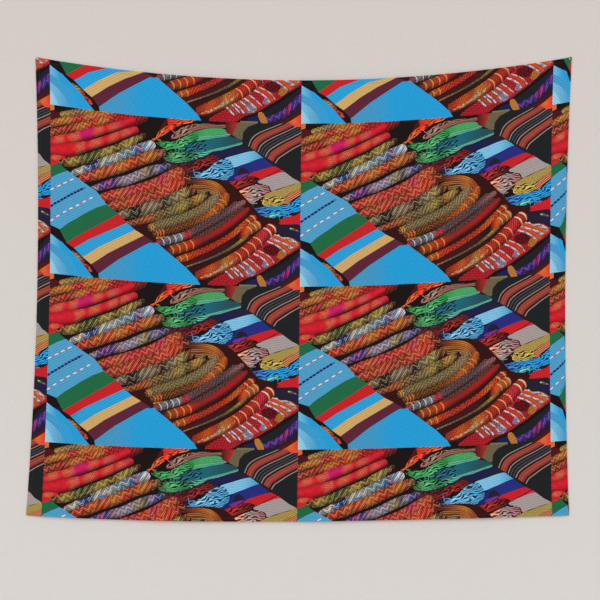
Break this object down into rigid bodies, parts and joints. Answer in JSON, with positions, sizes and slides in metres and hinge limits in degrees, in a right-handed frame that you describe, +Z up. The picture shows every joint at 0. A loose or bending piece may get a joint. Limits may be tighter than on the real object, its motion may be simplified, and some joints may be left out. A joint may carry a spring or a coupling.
{
  "type": "tapestry wall hanging",
  "caption": "Wide printed cloth wall hanging with sewn hems, hung by its two top corners from two small nails.",
  "frame": {"origin": "on the wall plane, midway between the two nails and level with them", "axes": "+Z up, +X to the right of a person who faces the print, +Y into the wall, so the print faces -Y"},
  "size_m": [1.542, 0.0266, 1.3125],
  "materials": {
    "printed_cloth": "plain-weave polyester printed with many-coloured stacked textiles, soft matt with a faint sheen",
    "hem_cloth": "the same printed cloth turned twice to the back, its printed face outwards",
    "sewing_thread": "dark spun polyester thread",
    "label_tape": "white satin tape, blank",
    "nail_steel": "bright drawn steel wire"
  },
  "bodies": {
    "corners": {"left_corner_face": "printed_cloth", "left_corner_hem": "hem_cloth", "right_corner_face": "printed_cloth", "right_corner_hem": "hem_cloth"},
    "left_nail": {"left_nail": "nail_steel"},
    "right_nail": {"right_nail": "nail_steel"},
    "cloth_upper": {"upper_panel": "printed_cloth", "top_hem": "hem_cloth", "top_hem_needle_thread": "sewing_thread", "top_hem_bobbin_thread": "sewing_thread", "left_hem_upper": "hem_cloth", "left_hem_upper_needle_thread": "sewing_thread", "left_hem_upper_bobbin_thread": "sewing_thread", "right_hem_upper": "hem_cloth", "right_hem_upper_needle_thread": "sewing_thread", "right_hem_upper_bobbin_thread": "sewing_thread"},
    "cloth_lower": {"lower_panel": "printed_cloth", "bottom_hem": "hem_cloth", "bottom_hem_needle_thread": "sewing_thread", "bottom_hem_bobbin_thread": "sewing_thread", "left_hem_lower": "hem_cloth", "left_hem_lower_needle_thread": "sewing_thread", "left_hem_lower_bobbin_thread": "sewing_thread", "right_hem_lower": "hem_cloth", "right_hem_lower_needle_thread": "sewing_thread", "right_hem_lower_bobbin_thread": "sewing_thread"},
    "label": {"care_label": "label_tape"}
  },
  "joints": [
    {"name": "left_nail_pull", "type": "slide", "parent": "corners", "child": "left_nail", "axis": [0, -1, 0], "range_m": [0, 0.02]},
    {"name": "right_nail_pull", "type": "slide", "parent": "corners", "child": "right_nail", "axis": [0, -1, 0], "range_m": [0, 0.02]},
    {"name": "swing_out", "type": "hinge", "parent": "corners", "child": "cloth_upper", "pos_m": [0, -0.003, -0.004], "axis": [-1, 0, 0], "range_deg": [0, 80]},
    {"name": "fold_up", "type": "hinge", "parent": "cloth_upper", "child": "cloth_lower", "pos_m": [0, -0.003, -0.6465], "axis": [-1, 0, 0], "range_deg": [0, 165]},
    {"name": "label_flap", "type": "hinge", "parent": "cloth_lower", "child": "label", "pos_m": [-0.7604, 0.0003, -1.155], "axis": [0, 0, 1], "range_deg": [0, 150], "stiffness_Nm_per_rad": 0.0001}
  ]
}
